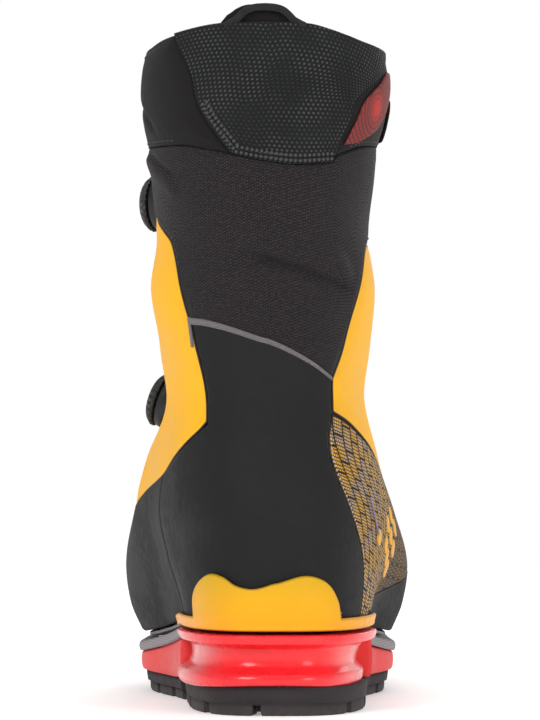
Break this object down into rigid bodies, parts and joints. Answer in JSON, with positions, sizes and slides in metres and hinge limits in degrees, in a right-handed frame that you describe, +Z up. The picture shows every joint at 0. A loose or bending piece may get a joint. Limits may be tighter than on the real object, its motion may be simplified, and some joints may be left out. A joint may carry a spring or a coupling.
{
  "type": "mountaineering boot",
  "caption": "High-altitude double mountaineering boot with a built-in gaiter, lace dials, crampon ledges, a front zip and a removable-style inner boot.",
  "frame": {"origin": "on the ground under the middle of the heel tread, on the flat lug there", "axes": "+Y from heel to toe, +X to the medial side (to the right, seen from behind), +Z up the shaft"},
  "size_m": [0.1282, 0.3256, 0.3039],
  "materials": {
    "tread_rubber": "matte, moulded lugs",
    "rand_rubber": "matte rubber sheet",
    "red_plastic": "glossy moulded",
    "yellow_plastic": "satin moulded",
    "grey_board": "pressed board edge",
    "black_plate": "woven composite, satin",
    "shell_felt": "pressed insulating felt",
    "liner_foam": "brushed lining over foam",
    "scale_knit": "printed scales on knit",
    "grey_trim": "rough bound edge",
    "yellow_fabric": "coated smooth weave",
    "black_fabric": "stretch twill",
    "cuff_fabric": "padded, raised dots",
    "red_print": "printed mesh",
    "black_plastic": "fine textured",
    "steel": "brushed",
    "lace_steel": "fine twisted wire"
  },
  "bodies": {
    "boot": {"heel_tread": "tread_rubber", "forefoot_tread": "tread_rubber", "heel_ledge": "red_plastic", "midsole": "red_plastic", "welt_board": "grey_board", "toe_welt": "tread_rubber", "heel_cup": "yellow_plastic", "stiffening_plate": "black_plate", "insole_board": "grey_board", "shell_foot_lateral": "shell_felt", "shell_foot_medial": "shell_felt", "shell_shaft_lateral": "shell_felt", "shell_shaft_medial": "shell_felt", "liner_foot_lateral": "liner_foam", "liner_foot_medial": "liner_foam", "liner_shaft_lateral": "liner_foam", "liner_shaft_medial": "liner_foam", "liner_sole": "liner_foam", "footbed": "liner_foam", "liner_tongue": "liner_foam", "liner_collar": "liner_foam", "heel_rubber": "rand_rubber", "rand_lateral": "rand_rubber", "rand_medial": "rand_rubber", "toe_cap": "rand_rubber", "scale_panel": "scale_knit", "edge_trim": "grey_trim", "flank_lateral": "yellow_fabric", "flank_medial": "yellow_fabric", "gaiter_rear": "black_fabric", "vamp": "yellow_fabric", "gaiter_front_medial": "black_fabric", "gaiter_front": "black_fabric", "rear_yoke": "cuff_fabric", "cuff_lateral": "cuff_fabric", "cuff_medial": "cuff_fabric", "cuff_badge": "red_print", "lower_dial_base": "black_plastic", "upper_dial_base": "black_plastic", "lower_lace_guide": "black_plastic", "upper_lace_guide": "black_plastic", "lower_lace": "lace_steel", "upper_lace": "lace_steel", "zip_tape_lateral": "cuff_fabric", "zip_tape_medial": "cuff_fabric", "zip_teeth_lateral": "black_plastic", "zip_teeth_medial": "black_plastic", "tab_anchor": "cuff_fabric"},
    "lower_core": {"lower_dial_core": "steel"},
    "lower_knob": {"lower_dial_knob": "black_plastic"},
    "lower_spool": {"lower_dial_spool": "black_plastic"},
    "upper_core": {"upper_dial_core": "steel"},
    "upper_knob": {"upper_dial_knob": "black_plastic"},
    "upper_spool": {"upper_dial_spool": "black_plastic"},
    "zip_slider": {"zip_slider": "steel"},
    "zip_pull": {"zip_pull": "black_plastic"},
    "cuff_tab": {"cuff_tab": "cuff_fabric"},
    "pull_loop": {"pull_loop": "cuff_fabric"}
  },
  "joints": [
    {"name": "lower_dial_pull", "type": "slide", "parent": "boot", "child": "lower_core", "axis": [-0.9032, 0.2887, 0.3176], "range_m": [0, 0.0025]},
    {"name": "lower_dial_turn", "type": "hinge", "parent": "lower_core", "child": "lower_knob", "pos_m": [-0.04757, 0.09945, 0.1318], "axis": [-0.9032, 0.2887, 0.3176], "continuous": true},
    {"name": "lower_spool_turn", "type": "hinge", "parent": "boot", "child": "lower_spool", "pos_m": [-0.04757, 0.09945, 0.1318], "axis": [-0.9032, 0.2887, 0.3176], "continuous": true},
    {"name": "upper_dial_pull", "type": "slide", "parent": "boot", "child": "upper_core", "axis": [-0.9246, 0.3808, -0.0148], "range_m": [0, 0.0025]},
    {"name": "upper_dial_turn", "type": "hinge", "parent": "upper_core", "child": "upper_knob", "pos_m": [-0.04983, 0.06341, 0.22079], "axis": [-0.9246, 0.3808, -0.0148], "continuous": true},
    {"name": "upper_spool_turn", "type": "hinge", "parent": "boot", "child": "upper_spool", "pos_m": [-0.04983, 0.06341, 0.22079], "axis": [-0.9246, 0.3808, -0.0148], "continuous": true},
    {"name": "zip_slide", "type": "slide", "parent": "boot", "child": "zip_slider", "axis": [-0.0104, 0.2278, -0.9736], "range_m": [0, 0.062]},
    {"name": "zip_pull_swing", "type": "hinge", "parent": "zip_slider", "child": "zip_pull", "pos_m": [0.0317, 0.07778, 0.23758], "axis": [0.6491, -0.7391, -0.1799], "range_deg": [0, 140]},
    {"name": "cuff_tab_peel", "type": "hinge", "parent": "boot", "child": "cuff_tab", "pos_m": [-0.02688, 0.08077, 0.25698], "axis": [-0.0108, -0.2096, 0.9777], "range_deg": [0, 110]},
    {"name": "pull_loop_fold", "type": "hinge", "parent": "boot", "child": "pull_loop", "pos_m": [-0.006, -0.04197, 0.29526], "axis": [1, 0, 0], "range_deg": [0, 75]}
  ],
  "couplings": [
    {"joint": "lower_spool_turn", "follows": "lower_dial_turn", "ratio": 1},
    {"joint": "upper_spool_turn", "follows": "upper_dial_turn", "ratio": 1}
  ]
}
